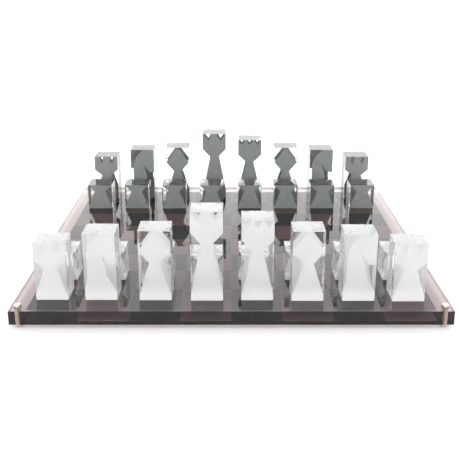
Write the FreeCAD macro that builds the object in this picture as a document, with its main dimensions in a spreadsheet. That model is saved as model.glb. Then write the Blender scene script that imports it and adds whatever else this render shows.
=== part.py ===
"""Chess set of clear acrylic blocks on a thick clear acrylic board.

Each chessman is a square clear block. A thin figure of the man is let into its front face and
another into its back face, and each reads the same way from its own side. The board is a clear
slab with 64 thin squares bonded to its underside and a bare clear border around them. A metal
stud in each corner clamps the slab: a head on top, a rod through the slab and a foot below.

Millimetres. +Z is up, +X is to the right of the player of the white men and +Y points away from
that player. The origin is the centre of the board, on the surface it stands on.
"""

import FreeCAD, Part
import os
import Sketcher
from FreeCAD import Placement, Rotation, Vector

doc = FreeCAD.newDocument("chess_set")

# Driving dimensions. Each one becomes a named cell of the sheet, and expressions read it there.
DRIVING_SIZES = {
    "board_side": 400,
    "slab_thick": 12.7,
    "slab_bevel": 0.5,
    "square_pitch": 46.75,
    "square_joint": 0.04,
    "square_thick": 0.5,
    "stud_inset": 7.2,
    "stud_hole_dia": 4.7,
    "rod_dia": 4.5,
    "rod_engagement": 3,
    "head_dia": 6.8,
    "head_tall": 4.4,
    "head_round": 1.2,
    "foot_dia": 7,
    "foot_tall": 4,
    "foot_round": 0.4,
    "block_side": 29.5,
    "block_bevel": 0.4,
    "figure_depth": 0.6,
    "figure_margin": 0.5,
    "king_tall": 85.5,
    "queen_tall": 77.3,
    "bishop_tall": 67.4,
    "knight_tall": 64.6,
    "rook_tall": 55.6,
    "pawn_tall": 30,
}

# Where the men stand. They were set down by hand, a little off the middle of their squares:
# (rank, offsets along Y, offsets along X), both from the leftmost file to the rightmost.
STANDING = {
    "white": {
        "officers": (0, (3.2, 3, 2.4, 1.6, 2.4, 1, 1, 0), (-1.4, -2.8, 0.5, 1.1, 0.5, -0.1, -0.1, -1)),
        "pawns": (1, (4,) * 8, (-1.8, -1.2, -1.2, 0.2, -1.5, -2.6, -0.3, -0.6)),
    },
    "black": {
        "officers": (7, (-0.5,) * 8, (2.2, 2.5, 1.1, 1.9, 0.8, 0.7, -0.2, -0.9)),
        "pawns": (6, (1.9,) * 8, (-0.1, -1, -1, -0.9, -0.2, -1.6, -2.6, 0.3)),
    },
}
OFFICER_FILES = (
    ("rook", "rook_left"),
    ("knight", "knight_left"),
    ("bishop", "bishop_left"),
    ("king", "king"),
    ("queen", "queen"),
    ("bishop", "bishop_right"),
    ("knight", "knight_right"),
    ("rook", "rook_right"),
)
SQUARES_A_SIDE = 8

# Outlines of the figures, clockwise as seen from outside the block. Each point is (share of the
# figure's width from its left edge, share of its height down from the top). An entry with two
# points is a round stretch: (a point on the arc, the arc's far end).
FIGURES = {
    "king": [
        (0, 0), (0.24, 0.108), (0.39, 0), (0.6, 0), (0.765, 0.108), (1, 0),
        (1, 0.23), (0.67, 0.355), (1, 0.93), (1, 1),
        (0, 1), (0, 0.93), (0.33, 0.355), (0, 0.23),
    ],
    "queen": [
        (0, 0), (0.155, 0.09), (0.29, 0), (0.35, 0), (0.5, 0.09), (0.64, 0), (0.7, 0),
        (0.84, 0.09), (1, 0),
        (1, 0.245), (0.65, 0.375), (1, 0.95), (1, 1),
        (0, 1), (0, 0.95), (0.35, 0.375), (0, 0.245),
    ],
    "bishop": [
        (0.47, 0), (0.53, 0), (1, 0.28), (0.655, 0.46), (1, 0.93), (1, 1),
        (0, 1), (0, 0.93), (0.345, 0.46), (0, 0.28),
    ],
    "knight": [
        (1, 0), (1, 0.45), (0.78, 0.45), ((0.66, 0.37), (0.51, 0.28)),
        ((0.6, 0.395), (0.68, 0.53)), (0.7, 0.62), (1, 0.86), (1, 1),
        (0, 1), (0, 0.86), (0.1, 0.62), (0.1, 0.4), ((0.27, 0.12), (0.6, 0)),
    ],
    "rook": [
        (0, 0), (0.25, 0), (0.25, 0.14), (0.37, 0.14), (0.37, 0), (0.68, 0),
        (0.68, 0.14), (0.8, 0.14), (0.8, 0), (1, 0),
        (1, 0.31), (0.7, 0.44), (1, 0.92), (1, 1),
        (0, 1), (0, 0.92), (0.3, 0.44), (0, 0.31),
    ],
    "pawn": [
        (0, 0), (1, 0), (0.73, 0.26), (1, 0.95), (1, 1),
        (0, 1), (0, 0.95), (0.27, 0.26),
    ],
}

HALF_TURN_ABOUT_Z = Placement(Vector(0, 0, 0), Rotation(Vector(0, 0, 1), 180))
UPRIGHT = Rotation(Vector(1, 0, 0), 90)
parts_to_save = []


# ---- the sheet ------------------------------------------------------------------------------

def make_sheet():
    """Fills the sheet, one named cell for each driving size."""
    sheet = doc.addObject("Spreadsheet::Sheet", "Sizes")
    for row, (alias, value) in enumerate(DRIVING_SIZES.items(), start=1):
        sheet.set(f"A{row}", alias)
        sheet.set(f"B{row}", str(value))
        sheet.setAlias(f"B{row}", alias)
    doc.recompute()
    return sheet


def bind(thing, **expressions):
    """Binds properties to expressions over the sheet. A double underscore stands for a dot."""
    for name, expression in expressions.items():
        thing.setExpression(name.replace("__", "."), expression)


def place(thing, along_x="0", along_y="0", along_z="0"):
    """Binds the three coordinates of an object's place."""
    bind(thing, Placement__Base__x=along_x, Placement__Base__y=along_y, Placement__Base__z=along_z)


# ---- sketches -------------------------------------------------------------------------------

def bind_point(sketch, edge, end, name, across, up):
    """Ties one end of an edge to the sketch's origin with two driven distances."""
    point = sketch.getPoint(edge, end)
    for kind, axis, now, expression in (
            ("DistanceX", "x", point.x, across), ("DistanceY", "y", point.y, up)):
        sketch.addConstraint(Sketcher.Constraint(kind, -1, 1, edge, end, now))
        index = sketch.ConstraintCount - 1
        sketch.renameConstraint(index, f"{name}_{axis}")
        sketch.setExpression(f"Constraints.{name}_{axis}", expression)


def add_square(sketch, half):
    """A square about the origin of a sketch; half is the expression for half its side."""
    corners = [Vector(-10, -10, 0), Vector(10, -10, 0), Vector(10, 10, 0), Vector(-10, 10, 0)]
    signs = (("-", "-"), ("", "-"), ("", ""), ("-", ""))
    for number, corner in enumerate(corners):
        sketch.addGeometry(Part.LineSegment(corner, corners[(number + 1) % 4]), False)
    for number, (sign_x, sign_y) in enumerate(signs):
        sketch.addConstraint(Sketcher.Constraint("Coincident", number, 1, (number - 1) % 4, 2))
        bind_point(sketch, number, 1, f"corner_{number}", f"{sign_x}{half}", f"{sign_y}{half}")


def body_sketch(body, name):
    """A sketch on the XY plane of its own body."""
    sketch = body.newObject("Sketcher::SketchObject", name)
    plane = [f for f in body.Origin.OriginFeatures if f.Role == "XY_Plane"][0]
    sketch.AttachmentSupport = [(plane, "")]
    sketch.MapMode = "FlatFace"
    return sketch


def figure_sketch(kind):
    """The outline of one figure, standing on the plane of the block's front face."""
    sketch = doc.addObject("Sketcher::SketchObject", f"{kind}_outline")
    sketch.Placement = Placement(Vector(0, 0, 0), UPRIGHT)
    place(sketch, along_y="-Sizes.block_side / 2")
    wide = DRIVING_SIZES["block_side"] - 2 * DRIVING_SIZES["figure_margin"]
    tall = DRIVING_SIZES[f"{kind}_tall"] - 2 * DRIVING_SIZES["figure_margin"]

    def guess(share):
        x = (share[0] - 0.5) * wide
        y = DRIVING_SIZES["figure_margin"] + (1 - share[1]) * tall
        return Vector(x, y, 0)

    def across(share):
        return f"{share[0] - 0.5:.4f} * (Sizes.block_side - 2 * Sizes.figure_margin)"

    def up(share):
        return (f"Sizes.figure_margin + {1 - share[1]:.4f} "
                f"* (Sizes.{kind}_tall - 2 * Sizes.figure_margin)")

    steps = FIGURES[kind]
    ends = [step[1] if isinstance(step[0], tuple) else step for step in steps]
    for number, end in enumerate(ends):
        start = ends[number - 1]
        step = steps[number]
        if isinstance(step[0], tuple):
            sketch.addGeometry(Part.Arc(guess(start), guess(step[0]), guess(end)), False)
        else:
            sketch.addGeometry(Part.LineSegment(guess(start), guess(end)), False)
    return sketch, steps, ends, across, up


def constrain_figure(sketch, steps, ends, across, up):
    """Joins the outline's edges end to end, drives each corner and fixes each arc's radius."""
    count = len(ends)
    for edge in range(count):
        following = (edge + 1) % count
        pairs = [(own_end, next_end) for own_end in (1, 2) for next_end in (1, 2)]

        def gap(pair):
            own_point = sketch.getPoint(edge, pair[0])
            return own_point.distanceToPoint(sketch.getPoint(following, pair[1]))

        own_end, next_end = min(pairs, key=gap)
        sketch.addConstraint(Sketcher.Constraint("Coincident", edge, own_end, following, next_end))
        bind_point(sketch, edge, own_end, f"point_{edge}", across(ends[edge]), up(ends[edge]))
    for edge, step in enumerate(steps):
        if isinstance(step[0], tuple):
            radius = sketch.Geometry[edge].Radius
            sketch.addConstraint(Sketcher.Constraint("Radius", edge, radius))
            index = sketch.ConstraintCount - 1
            sketch.renameConstraint(index, f"radius_{edge}")
            share = radius / DRIVING_SIZES["block_side"]
            sketch.setExpression(f"Constraints.radius_{edge}", f"{share:.5f} * Sizes.block_side")


# ---- small tools for solids -----------------------------------------------------------------

def group(label, members, **where):
    """Several solids held as one object with a place of its own."""
    compound = doc.addObject("Part::Compound", label)
    compound.Label = label
    compound.Links = members
    if where:
        place(compound, **where)
    return compound


def cylinder(label, diameter, tall, **where):
    """A standing round bar of a driven size."""
    bar = doc.addObject("Part::Cylinder", label)
    bind(bar, Radius=f"{diameter} / 2", Height=tall)
    place(bar, **where)
    return bar


def cut(label, base, tool):
    """One solid with another taken out of it."""
    result = doc.addObject("Part::Cut", label)
    result.Base = base
    result.Tool = tool
    return result


def padded_square(label, half, tall, bevel):
    """A square block made as a pad, with all its edges bevelled."""
    body = doc.addObject("PartDesign::Body", label)
    sketch = body_sketch(body, f"{label}_section")
    add_square(sketch, half)
    pad = body.newObject("PartDesign::Pad", f"{label}_pad")
    pad.Profile = sketch
    bind(pad, Length=tall)
    doc.recompute()
    edge_names = [f"Edge{number}" for number in range(1, len(pad.Shape.Edges) + 1)]
    chamfer = body.newObject("PartDesign::Chamfer", f"{label}_bevel")
    chamfer.Base = (pad, edge_names)
    bind(chamfer, Size=bevel)
    doc.recompute()
    return body


# ---- the board ------------------------------------------------------------------------------

UNDERSIDE = "Sizes.foot_tall + Sizes.square_thick"
BOARD_TOP = "Sizes.foot_tall + Sizes.square_thick + Sizes.slab_thick"
STUD_CORNERS = (("-", "-"), ("", "-"), ("", ""), ("-", ""))


def at_each_corner(label, thing, height="0"):
    """A group of four copies of a thing, one at each stud."""
    reach = "(Sizes.board_side / 2 - Sizes.stud_inset)"
    copies = [
        group(f"{label}_{number}", [thing],
              along_x=f"{sign_x}{reach}", along_y=f"{sign_y}{reach}", along_z=height)
        for number, (sign_x, sign_y) in enumerate(STUD_CORNERS, start=1)
    ]
    return group(label, copies)


def make_slab():
    """The clear slab, with a through hole for each stud."""
    blank = padded_square(
        "slab_blank", "Sizes.board_side / 2", "Sizes.slab_thick", "Sizes.slab_bevel")
    drill = cylinder(
        "stud_drill", "Sizes.stud_hole_dia", "Sizes.slab_thick + 2", along_z="-1")
    drilled = cut("slab_drilled", blank, at_each_corner("stud_drills", drill))
    parts_to_save.append(group("clear_slab", [drilled], along_z=UNDERSIDE))


def make_squares():
    """The thin squares under the slab. The square at the left of the near row is dark."""
    tiles = {"dark_squares": [], "light_squares": []}
    for column in range(SQUARES_A_SIDE):
        for row in range(SQUARES_A_SIDE):
            colour = "dark_squares" if (column + row) % 2 == 0 else "light_squares"
            tile = doc.addObject("Part::Box", f"square_{column}_{row}")
            side = "Sizes.square_pitch - Sizes.square_joint"
            bind(tile, Length=side, Width=side, Height="Sizes.square_thick")
            first = -SQUARES_A_SIDE / 2
            place(tile,
                  along_x=f"{first + column} * Sizes.square_pitch + Sizes.square_joint / 2",
                  along_y=f"{first + row} * Sizes.square_pitch + Sizes.square_joint / 2",
                  along_z="Sizes.foot_tall")
            tiles[colour].append(tile)
    for colour, members in tiles.items():
        parts_to_save.append(group(colour, members))


def make_cap(label, diameter, tall, rounding, open_end_down):
    """A round metal cap with a blind bore for the rod, rounded at its closed end."""
    body = doc.addObject("PartDesign::Body", label)
    sketch = body_sketch(body, f"{label}_section")
    sketch.addGeometry(Part.Circle(Vector(0, 0, 0), Vector(0, 0, 1), 3), False)
    sketch.addConstraint(Sketcher.Constraint("Coincident", 0, 3, -1, 1))
    sketch.addConstraint(Sketcher.Constraint("Diameter", 0, 6))
    sketch.setExpression("Constraints[1]", f"Sizes.{diameter}")
    pad = body.newObject("PartDesign::Pad", f"{label}_pad")
    pad.Profile = sketch
    bind(pad, Length=f"Sizes.{tall}")
    doc.recompute()
    closed_height = DRIVING_SIZES[tall] if open_end_down else 0
    rims = [
        f"Edge{number}" for number, edge in enumerate(pad.Shape.Edges, start=1)
        if abs(edge.BoundBox.ZMin - closed_height) < 1e-6
        and abs(edge.BoundBox.ZMax - closed_height) < 1e-6
    ]
    fillet = body.newObject("PartDesign::Fillet", f"{label}_rounding")
    fillet.Base = (pad, rims)
    bind(fillet, Radius=f"Sizes.{rounding}")
    doc.recompute()
    bore_start = "0" if open_end_down else f"Sizes.{tall} - Sizes.rod_engagement"
    bore = cylinder(f"{label}_bore", "Sizes.rod_dia", "Sizes.rod_engagement", along_z=bore_start)
    return cut(f"{label}_bored", body, bore)


def make_studs():
    """The four studs: heads on top, rods through the slab and feet below."""
    head = make_cap("stud_head", "head_dia", "head_tall", "head_round", open_end_down=True)
    foot = make_cap("stud_foot", "foot_dia", "foot_tall", "foot_round", open_end_down=False)
    rod = cylinder(
        "stud_rod", "Sizes.rod_dia",
        "Sizes.square_thick + Sizes.slab_thick + 2 * Sizes.rod_engagement")
    parts_to_save.append(at_each_corner("stud_heads", head, BOARD_TOP))
    parts_to_save.append(
        at_each_corner("stud_rods", rod, "Sizes.foot_tall - Sizes.rod_engagement"))
    parts_to_save.append(at_each_corner("stud_feet", foot))


# ---- the men --------------------------------------------------------------------------------

def make_kind(kind):
    """The clear block of one kind of man, and the pair of figures let into it."""
    sketch, steps, ends, across, up = figure_sketch(kind)
    constrain_figure(sketch, steps, ends, across, up)
    front = doc.addObject("Part::Extrusion", f"{kind}_front_figure")
    front.Base = sketch
    front.DirMode = "Custom"
    front.Dir = Vector(0, 1, 0)
    front.Solid = True
    bind(front, LengthFwd="Sizes.figure_depth")
    back = group(f"{kind}_back_figure", [front])
    back.Placement = HALF_TURN_ABOUT_Z
    figures = group(f"{kind}_pair_of_figures", [front, back])
    blank = padded_square(
        f"{kind}_blank", "Sizes.block_side / 2", f"Sizes.{kind}_tall", "Sizes.block_bevel")
    return cut(f"{kind}_recessed_block", blank, figures), figures


def square_centre(number, offset):
    """The expression for a square's middle along one axis, with a man's own offset from it."""
    return f"{number - (SQUARES_A_SIDE - 1) / 2} * Sizes.square_pitch + {offset}"


def make_men():
    """All the men of both sides, on their squares."""
    kinds = {kind: make_kind(kind) for kind in FIGURES}
    for side, rows in STANDING.items():
        rank, offsets_y, offsets_x = rows["officers"]
        for column, (kind, name) in enumerate(OFFICER_FILES):
            block, figures = kinds[kind]
            spot = dict(along_x=square_centre(column, offsets_x[column]),
                        along_y=square_centre(rank, offsets_y[column]), along_z=BOARD_TOP)
            parts_to_save.append(group(f"{side}_{name}_block", [block], **spot))
            parts_to_save.append(group(f"{side}_{name}_figures", [figures], **spot))
        rank, offsets_y, offsets_x = rows["pawns"]
        block, figures = kinds["pawn"]
        for column in range(SQUARES_A_SIDE):
            parts_to_save.append(group(
                f"{side}_pawn_{column + 1}", [block, figures],
                along_x=square_centre(column, offsets_x[column]),
                along_y=square_centre(rank, offsets_y[column]), along_z=BOARD_TOP))


# ---- build, check and save ------------------------------------------------------------------

def check_document():
    """Stops if any object failed or any part is empty or invalid."""
    for thing in doc.Objects:
        if "Invalid" in thing.State or "Error" in thing.State:
            raise RuntimeError(f"{thing.Name} failed: {thing.State}")
    for part in parts_to_save:
        if part.Shape.isNull() or not part.Shape.isValid() or not part.Shape.Solids:
            raise RuntimeError(f"{part.Label} has no valid solid")


def save_parts():
    """Writes one file for each part."""
    os.makedirs("parts", exist_ok=True)
    for part in parts_to_save:
        part.Shape.exportStep(f"parts/{part.Label}.step")
        print(f"{part.Label}: {len(part.Shape.Solids)} solids, {part.Shape.Volume:.1f} mm3")


make_sheet()
make_slab()
make_squares()
make_studs()
make_men()
doc.recompute()
check_document()
save_parts()
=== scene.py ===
"""Looks of the acrylic chess set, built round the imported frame. Metres, in the row frame."""

import math

import bmesh
import bpy
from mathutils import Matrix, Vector


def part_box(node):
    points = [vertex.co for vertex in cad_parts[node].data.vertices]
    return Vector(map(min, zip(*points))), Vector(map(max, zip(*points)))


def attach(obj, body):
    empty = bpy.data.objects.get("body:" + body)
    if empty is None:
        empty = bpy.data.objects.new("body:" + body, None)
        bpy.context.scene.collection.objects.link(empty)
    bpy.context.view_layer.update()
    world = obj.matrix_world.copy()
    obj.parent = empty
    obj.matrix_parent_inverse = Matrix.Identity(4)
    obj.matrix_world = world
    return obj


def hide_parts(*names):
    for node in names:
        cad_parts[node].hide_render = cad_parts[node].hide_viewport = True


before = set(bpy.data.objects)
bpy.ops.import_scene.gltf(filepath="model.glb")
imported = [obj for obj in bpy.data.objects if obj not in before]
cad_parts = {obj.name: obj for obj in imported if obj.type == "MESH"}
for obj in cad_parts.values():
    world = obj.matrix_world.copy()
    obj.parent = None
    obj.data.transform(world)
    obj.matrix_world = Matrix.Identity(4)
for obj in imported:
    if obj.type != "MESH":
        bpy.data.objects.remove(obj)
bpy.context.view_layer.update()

MM = 0.001
ACRYLIC_IOR = 1.49
ACRYLIC_BUMP = 0.0015 * MM

# Thin optical gaps, so that no two surfaces lie in one plane.
AIR_GAP = 0.03 * MM
SKIN = 0.06 * MM

INLAY_THICK = 0.24 * MM
BLOCK_BEVEL = 0.12 * MM
SLAB_BEVEL = 0.04 * MM

# How the CAD figures are made: how deep they go, and how far they stay from the face's edges.
CAD_FIGURE_DEPTH = 0.6 * MM
FIGURE_MARGIN = 0.5 * MM

FLOOR_REACH = 12

OFFICERS = (
    "rook_left", "knight_left", "bishop_left", "king",
    "queen", "bishop_right", "knight_right", "rook_right",
)
PAWNS = tuple(f"pawn_{number}" for number in range(1, 9))
# Clockwise, in shares of the face's width from the left and of its height from the top.
PAWN_FIGURE = (
    (0, 0), (1, 0), (0.73, 0.26), (1, 0.95), (1, 1), (0, 1), (0, 0.95), (0.27, 0.26),
)


# ---- materials ------------------------------------------------------------------------------

def new_material(name):
    """An empty node material, with its node tree and its output node."""
    material = bpy.data.materials.new(name)
    material.use_nodes = True
    tree = material.node_tree
    tree.nodes.clear()
    output = tree.nodes.new("ShaderNodeOutputMaterial")
    return material, tree, output


def principled(tree, output, **values):
    """A Principled shader with constant sockets, linked to the output."""
    shader = tree.nodes.new("ShaderNodeBsdfPrincipled")
    for name, value in values.items():
        shader.inputs[name.replace("_", " ")].default_value = value
    tree.links.new(shader.outputs["BSDF"], output.inputs["Surface"])
    return shader


def noise(tree, scale, detail=2.0):
    """Solid noise in the object's own space; scale is in features a metre."""
    place = tree.nodes.new("ShaderNodeTexCoord")
    texture = tree.nodes.new("ShaderNodeTexNoise")
    texture.inputs["Scale"].default_value = scale
    texture.inputs["Detail"].default_value = detail
    tree.links.new(place.outputs["Object"], texture.inputs["Vector"])
    return texture


def add_bump(tree, shader, scale, height):
    """A shallow unevenness; height is in metres."""
    texture = noise(tree, scale)
    bump = tree.nodes.new("ShaderNodeBump")
    bump.inputs["Strength"].default_value = 1.0
    bump.inputs["Distance"].default_value = height
    tree.links.new(texture.outputs["Fac"], bump.inputs["Height"])
    tree.links.new(bump.outputs["Normal"], shader.inputs["Normal"])


def mottle(tree, socket, scale, low, high):
    """Feeds a colour socket with noise between two colours."""
    texture = noise(tree, scale, detail=3.0)
    ramp = tree.nodes.new("ShaderNodeValToRGB")
    ramp.color_ramp.elements[0].position = 0.35
    ramp.color_ramp.elements[1].position = 0.65
    ramp.color_ramp.elements[0].color = (*low, 1)
    ramp.color_ramp.elements[1].color = (*high, 1)
    tree.links.new(texture.outputs["Fac"], ramp.inputs["Fac"])
    tree.links.new(ramp.outputs["Color"], socket)


def clear_acrylic():
    """Polished clear acrylic, very slightly uneven as flame-polished faces are."""
    material, tree, output = new_material("clear_acrylic")
    shader = principled(
        tree, output, Base_Color=(1, 1, 1, 1), Roughness=0.0,
        IOR=ACRYLIC_IOR, Transmission_Weight=1.0)
    add_bump(tree, shader, 40, ACRYLIC_BUMP)
    return material


def smoked_slab_acrylic():
    """Clear acrylic with a faint mauve cast that deepens with the length of the light's way."""
    material, tree, output = new_material("slab_acrylic")
    shader = principled(
        tree, output, Base_Color=(1, 1, 1, 1), Roughness=0.0,
        IOR=ACRYLIC_IOR, Transmission_Weight=1.0)
    add_bump(tree, shader, 20, ACRYLIC_BUMP)
    absorption = tree.nodes.new("ShaderNodeVolumeAbsorption")
    absorption.inputs["Color"].default_value = (0.50, 0.32, 0.315, 1)
    absorption.inputs["Density"].default_value = 46.0
    tree.links.new(absorption.outputs["Volume"], output.inputs["Volume"])
    return material


def charcoal_ink():
    """The charcoal figures: a smooth opaque layer with a faint green cast."""
    material, tree, output = new_material("black_figure")
    shader = principled(tree, output, Roughness=0.5, Specular_IOR_Level=0.2)
    mottle(tree, shader.inputs["Base Color"], 160, (0.222, 0.240, 0.230), (0.242, 0.260, 0.250))
    return material


def frosted_white():
    """The white figures: a frosted layer, mostly diffuse near the board and more translucent higher
    up; this is painted light that brightens their lower part.
    """
    material, tree, output = new_material("white_figure")
    front = tree.nodes.new("ShaderNodeBsdfDiffuse")
    through = tree.nodes.new("ShaderNodeBsdfTranslucent")
    mottle(tree, front.inputs["Color"], 220, (0.965, 0.965, 0.97), (0.98, 0.98, 0.985))
    through.inputs["Color"].default_value = (0.975, 0.975, 0.98, 1)
    place = tree.nodes.new("ShaderNodeTexCoord")
    split = tree.nodes.new("ShaderNodeSeparateXYZ")
    # Painted light: the diffuse share is highest near the board, so the figures' lower part looks
    # brighter.
    share = tree.nodes.new("ShaderNodeMapRange")
    share.interpolation_type = "SMOOTHSTEP"
    share.inputs["From Min"].default_value = 0.017
    share.inputs["From Max"].default_value = 0.034
    share.inputs["To Min"].default_value = 0.2
    share.inputs["To Max"].default_value = 0.8
    painted_light_mix = tree.nodes.new("ShaderNodeMixShader")
    tree.links.new(place.outputs["Object"], split.inputs["Vector"])
    tree.links.new(split.outputs["Z"], share.inputs["Value"])
    tree.links.new(share.outputs["Result"], painted_light_mix.inputs["Fac"])
    tree.links.new(front.outputs["BSDF"], painted_light_mix.inputs[1])
    tree.links.new(through.outputs["BSDF"], painted_light_mix.inputs[2])
    tree.links.new(painted_light_mix.outputs["Shader"], output.inputs["Surface"])
    return material


def ground_acrylic():
    """The ground undersides of the men, which look white from inside the clear blocks."""
    material, tree, output = new_material("ground_acrylic")
    shader = principled(tree, output, Roughness=0.9, Specular_IOR_Level=0.2)
    mottle(tree, shader.inputs["Base Color"], 300, (0.90, 0.90, 0.90), (0.94, 0.94, 0.94))
    return material


def square_film(name, low, high):
    """A thin opaque coloured layer, seen through the slab."""
    material, tree, output = new_material(name)
    shader = principled(tree, output, Roughness=0.35, Specular_IOR_Level=0.3)
    mottle(tree, shader.inputs["Base Color"], 90, low, high)
    return material


def nickel(name, colour, roughness):
    """The studs' warm metal, with fine turning marks."""
    material, tree, output = new_material(name)
    shader = principled(
        tree, output, Base_Color=(*colour, 1), Metallic=1.0, Roughness=roughness)
    add_bump(tree, shader, 900, 0.00001)
    return material


def floor_white():
    """A plain matt white table."""
    material, tree, output = new_material("studio_floor")
    shader = principled(tree, output, Roughness=0.9, Specular_IOR_Level=0.0)
    mottle(tree, shader.inputs["Base Color"], 2, (0.845, 0.842, 0.84), (0.855, 0.852, 0.85))
    return material


# ---- meshes ---------------------------------------------------------------------------------

def new_piece(name, mesh, material, body, slot, *stands_for):
    """Links a mesh as a named piece that rides a body and stands for CAD nodes."""
    piece = bpy.data.objects.new(name, mesh)
    bpy.context.scene.collection.objects.link(piece)
    mesh.materials.clear()
    mesh.materials.append(material)
    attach(piece, body)
    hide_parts(*stands_for)
    return piece


def bevelled_box(name, low, high, bevel):
    """A closed box whose edges and corners are rounded off."""
    work = bmesh.new()
    bmesh.ops.create_cube(work, size=1)
    for vertex in work.verts:
        for axis in range(3):
            share = vertex.co[axis] + 0.5
            vertex.co[axis] = low[axis] + share * (high[axis] - low[axis])
    bmesh.ops.bevel(
        work, geom=work.edges[:], offset=bevel, segments=2, profile=0.5, affect="EDGES")
    mesh = bpy.data.meshes.new(name)
    work.to_mesh(mesh)
    work.free()
    return mesh


def reshaped_copy(node, name, move):
    """A copy of a CAD node's mesh with its doubled points joined and each point moved."""
    work = bmesh.new()
    work.from_mesh(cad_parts[node].data)
    bmesh.ops.remove_doubles(work, verts=work.verts[:], dist=0.001 * MM)
    for vertex in work.verts:
        vertex.co = move(vertex.co)
    bmesh.ops.recalc_face_normals(work, faces=work.faces[:])
    mesh = bpy.data.meshes.new(name)
    work.to_mesh(mesh)
    work.free()
    return mesh


def plate_from_outline(work, outline, near, far):
    """Adds a closed plate between the planes y = near and y = far. outline holds (x, z)."""
    rings = []
    for y in (near, far):
        rings.append([work.verts.new((x, y, z)) for x, z in outline])
    count = len(outline)
    work.faces.new(rings[0])
    work.faces.new(rings[1][::-1])
    for index in range(count):
        following = (index + 1) % count
        work.faces.new((rings[0][following], rings[0][index], rings[1][index], rings[1][following]))


# ---- the board ------------------------------------------------------------------------------

def make_board(materials):
    """The slab reaches down round the squares, which then lie inside it as if bonded."""
    slab_low, slab_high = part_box("clear_slab")
    squares_low, squares_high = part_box("dark_squares")

    def square_point(point):
        middle = (squares_low.z + squares_high.z) / 2
        z = squares_low.z + AIR_GAP + SKIN if point.z < middle else squares_high.z
        return Vector((point.x, point.y, z))

    bottom = Vector((slab_low.x, slab_low.y, squares_low.z + AIR_GAP))
    top = slab_high - Vector((0, 0, AIR_GAP))
    slab = bevelled_box("board_slab", bottom, top, SLAB_BEVEL)
    new_piece("board_slab", slab, materials["slab"], "board", "slab_acrylic", "clear_slab")
    for node, name, slot in (
            ("dark_squares", "board_dark_squares", "dark_square_film"),
            ("light_squares", "board_light_squares", "light_square_film")):
        mesh = reshaped_copy(node, name, square_point)
        new_piece(name, mesh, materials[slot], "board", slot, node)
    # The rods and feet take a rougher, brushed metal whose darker, browner colour is painted shade
    # for their place inside the slab's holes and under the board.
    for node, metal in (
            ("stud_heads", "polished"), ("stud_rods", "brushed_painted_shade"), ("stud_feet", "brushed_painted_shade")):
        metal_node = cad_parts[node]
        metal_node.data.materials.clear()
        metal_node.data.materials.append(materials[metal])


# ---- the men --------------------------------------------------------------------------------

def make_block(man, node, materials):
    """One man's clear block, its faces halfway down the figures, and a white man's underside."""
    low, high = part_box(node)
    half_inlay = Vector((0, INLAY_THICK / 2, 0))
    glass_low = low + half_inlay + Vector((0, 0, 2 * AIR_GAP))
    mesh = bevelled_box(f"{man}_clear", glass_low, high - half_inlay, BLOCK_BEVEL)
    new_piece(f"{man}_clear", mesh, materials["clear"], man, "clear_acrylic", node)
    if man.startswith("black"):
        return
    rim = Vector((BLOCK_BEVEL, BLOCK_BEVEL + INLAY_THICK, 0))
    ground_low = low + rim + Vector((0, 0, AIR_GAP))
    ground_high = Vector((high.x, high.y, low.z + 5 * AIR_GAP)) - rim
    ground = bevelled_box(f"{man}_ground_base", ground_low, ground_high, AIR_GAP / 2)
    new_piece(f"{man}_ground_base", ground, materials["ground"], man, "clear_acrylic", node)


def spread(value, low, high):
    """Stretches a figure from its CAD margin almost to the edges of its block's face."""
    middle = (low + high) / 2
    half = (high - low) / 2
    return middle + (value - middle) * (half - BLOCK_BEVEL) / (half - FIGURE_MARGIN)


def inlay_point(point, low, high):
    """Where a point of a CAD figure goes, so that the figure lies in the block's face."""
    middle = (low.y + high.y) / 2
    side = -1 if point.y < middle else 1
    half = (high.y - low.y) / 2
    outer = abs(point.y - middle) > half - CAD_FIGURE_DEPTH / 2
    y = middle + side * (half - (0 if outer else INLAY_THICK))
    return Vector((spread(point.x, low.x, high.x), y, spread(point.z, low.z, high.z)))


def make_officer(side, rank, materials):
    """One officer: its block, and both its figures from the CAD outlines."""
    man = f"{side}_{rank}"
    low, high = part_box(f"{man}_block")
    make_block(man, f"{man}_block", materials)

    mesh = reshaped_copy(
        f"{man}_figures", f"{man}_inlays", lambda point: inlay_point(point, low, high))
    new_piece(f"{man}_inlays", mesh, materials[side], man, f"{side}_figure", f"{man}_figures")


def make_pawn(side, rank, materials):
    """One pawn: its block, and the same figure on the front and on the back."""
    man = f"{side}_{rank}"
    low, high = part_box(man)
    make_block(man, man, materials)
    left, right = low.x + BLOCK_BEVEL, high.x - BLOCK_BEVEL
    bottom, top = low.z + BLOCK_BEVEL, high.z - BLOCK_BEVEL
    front = [(left + x * (right - left), top - y * (top - bottom)) for x, y in PAWN_FIGURE]
    back = [(left + right - x, z) for x, z in front]
    work = bmesh.new()
    plate_from_outline(work, front, low.y, low.y + INLAY_THICK)
    plate_from_outline(work, back, high.y - INLAY_THICK, high.y)
    bmesh.ops.recalc_face_normals(work, faces=work.faces[:])
    mesh = bpy.data.meshes.new(f"{man}_inlays")
    work.to_mesh(mesh)
    work.free()
    new_piece(f"{man}_inlays", mesh, materials[side], man, f"{side}_figure", man)


# ---- studio ---------------------------------------------------------------------------------

def make_floor():
    """A wide pale floor just under the feet."""
    mesh = bpy.data.meshes.new("studio_floor")
    reach = FLOOR_REACH
    corners = [(-reach, -reach), (reach, -reach), (reach, reach), (-reach, reach)]
    mesh.from_pydata([(x, y, -AIR_GAP) for x, y in corners], [], [(0, 1, 2, 3)])
    floor = bpy.data.objects.new("studio_floor", mesh)
    bpy.context.scene.collection.objects.link(floor)
    mesh.materials.append(floor_white())


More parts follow.
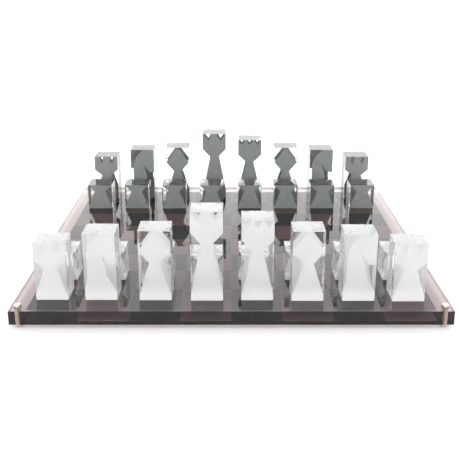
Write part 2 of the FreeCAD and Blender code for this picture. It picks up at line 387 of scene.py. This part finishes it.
def make_world():
    """A white studio all round, brightest low down and high up behind the board."""
    world = bpy.data.worlds.new("studio")
    bpy.context.scene.world = world
    world.use_nodes = True
    tree = world.node_tree
    tree.nodes.clear()
    output = tree.nodes.new("ShaderNodeOutputWorld")
    background = tree.nodes.new("ShaderNodeBackground")
    background.inputs["Color"].default_value = (1, 1, 1, 1)
    place = tree.nodes.new("ShaderNodeTexCoord")
    split = tree.nodes.new("ShaderNodeSeparateXYZ")
    tree.links.new(place.outputs["Generated"], split.inputs["Vector"])

    def ramp(axis, start, end, first, last):
        """A smooth step of brightness along one axis of the direction looked in."""
        node = tree.nodes.new("ShaderNodeMapRange")
        node.interpolation_type = "SMOOTHSTEP"
        for name, value in (
                ("From Min", start), ("From Max", end), ("To Min", first), ("To Max", last)):
            node.inputs[name].default_value = value
        tree.links.new(split.outputs[axis], node.inputs["Value"])
        return node.outputs["Result"]

    backdrop = ramp("Z", 0.26, 0.42, 2.05, 1.40)
    high = ramp("Z", 0.40, 0.52, 0.0, 1.6)
    behind = ramp("Y", 0.25, 0.6, 0.0, 1.0)
    total = tree.nodes.new("ShaderNodeMath")
    total.operation = "MULTIPLY_ADD"
    tree.links.new(high, total.inputs[0])
    tree.links.new(behind, total.inputs[1])
    tree.links.new(backdrop, total.inputs[2])
    tree.links.new(total.outputs["Value"], background.inputs["Strength"])
    tree.links.new(background.outputs["Background"], output.inputs["Surface"])


def make_camera():
    """The camera, looking down across the board from the white side."""
    board_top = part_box("clear_slab")[1].z
    data = bpy.data.cameras.new("camera")
    data.lens = 61.41
    data.sensor_width = 36
    data.clip_start = 0.05
    data.clip_end = 50
    camera = bpy.data.objects.new("camera", data)
    bpy.context.scene.collection.objects.link(camera)
    camera.location = (-0.0012, -0.8379, board_top + 0.2993)
    looking_down = math.radians(19.21)
    camera.rotation_euler = (math.pi / 2 - looking_down, 0, 0)
    bpy.context.scene.camera = camera


def set_colour_and_light_paths():
    """Plain colours, and enough bounces for light to cross several clear blocks."""
    scene = bpy.context.scene
    scene.view_settings.view_transform = "Standard"
    scene.cycles.max_bounces = 32
    scene.cycles.transmission_bounces = 32
    scene.cycles.glossy_bounces = 16
    scene.cycles.diffuse_bounces = 6
    scene.cycles.use_denoising = True


materials = {
    "clear": clear_acrylic(),
    "slab": smoked_slab_acrylic(),
    "dark_square_film": square_film(
        "dark_square_film", (0.005, 0.005, 0.005), (0.007, 0.007, 0.007)),
    "light_square_film": square_film(
        "light_square_film", (0.20, 0.135, 0.132), (0.225, 0.155, 0.15)),
    "polished": nickel("stud_polished_metal", (0.62, 0.56, 0.50), 0.12),
    # Rods and feet: a rougher finish, and a darker, browner colour that is painted shade.
    "brushed_painted_shade": nickel("stud_brushed_painted_shade_metal", (0.60, 0.50, 0.43), 0.5),
    "ground": ground_acrylic(),
    "white": frosted_white(),
    "black": charcoal_ink(),
}
make_board(materials)
for side in ("white", "black"):
    for rank in OFFICERS:
        make_officer(side, rank, materials)
    for rank in PAWNS:
        make_pawn(side, rank, materials)
make_floor()
make_world()
make_camera()
set_colour_and_light_paths()
